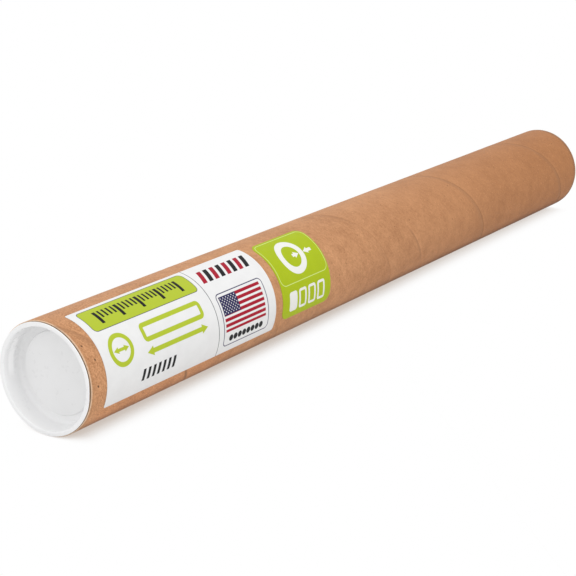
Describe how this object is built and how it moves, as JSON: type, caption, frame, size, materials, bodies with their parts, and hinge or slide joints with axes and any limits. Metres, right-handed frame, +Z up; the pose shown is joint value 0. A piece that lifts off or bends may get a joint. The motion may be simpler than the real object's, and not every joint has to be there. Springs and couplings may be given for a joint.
{
  "type": "cardboard mailing tube",
  "caption": "Spiral-wound kraft mailing tube with a recessed push-in plastic cap in each end and paper labels; holds rolled prints or plans in the post.",
  "frame": {"origin": "on the surface that the tube lies on, under the middle of its length", "axes": "+X along the tube from the labelled end to the far end, +Z up; the labels face -Y and up"},
  "size_m": [0.5102, 0.054, 0.0537],
  "materials": {
    "kraft_board": "matte",
    "white_plastic": "satin",
    "white_paper": "satin",
    "green_paper": "satin"
  },
  "bodies": {
    "tube": {"tube": "kraft_board", "size_label": "white_paper", "grade_label": "green_paper"},
    "near_cap": {"near_end_cap": "white_plastic"},
    "far_cap": {"far_end_cap": "white_plastic"}
  },
  "joints": [
    {"name": "near_cap_pull", "type": "slide", "parent": "tube", "child": "near_cap", "axis": [-1, 0, 0], "range_m": [0, 0.07]},
    {"name": "far_cap_pull", "type": "slide", "parent": "tube", "child": "far_cap", "axis": [1, 0, 0], "range_m": [0, 0.07]}
  ]
}
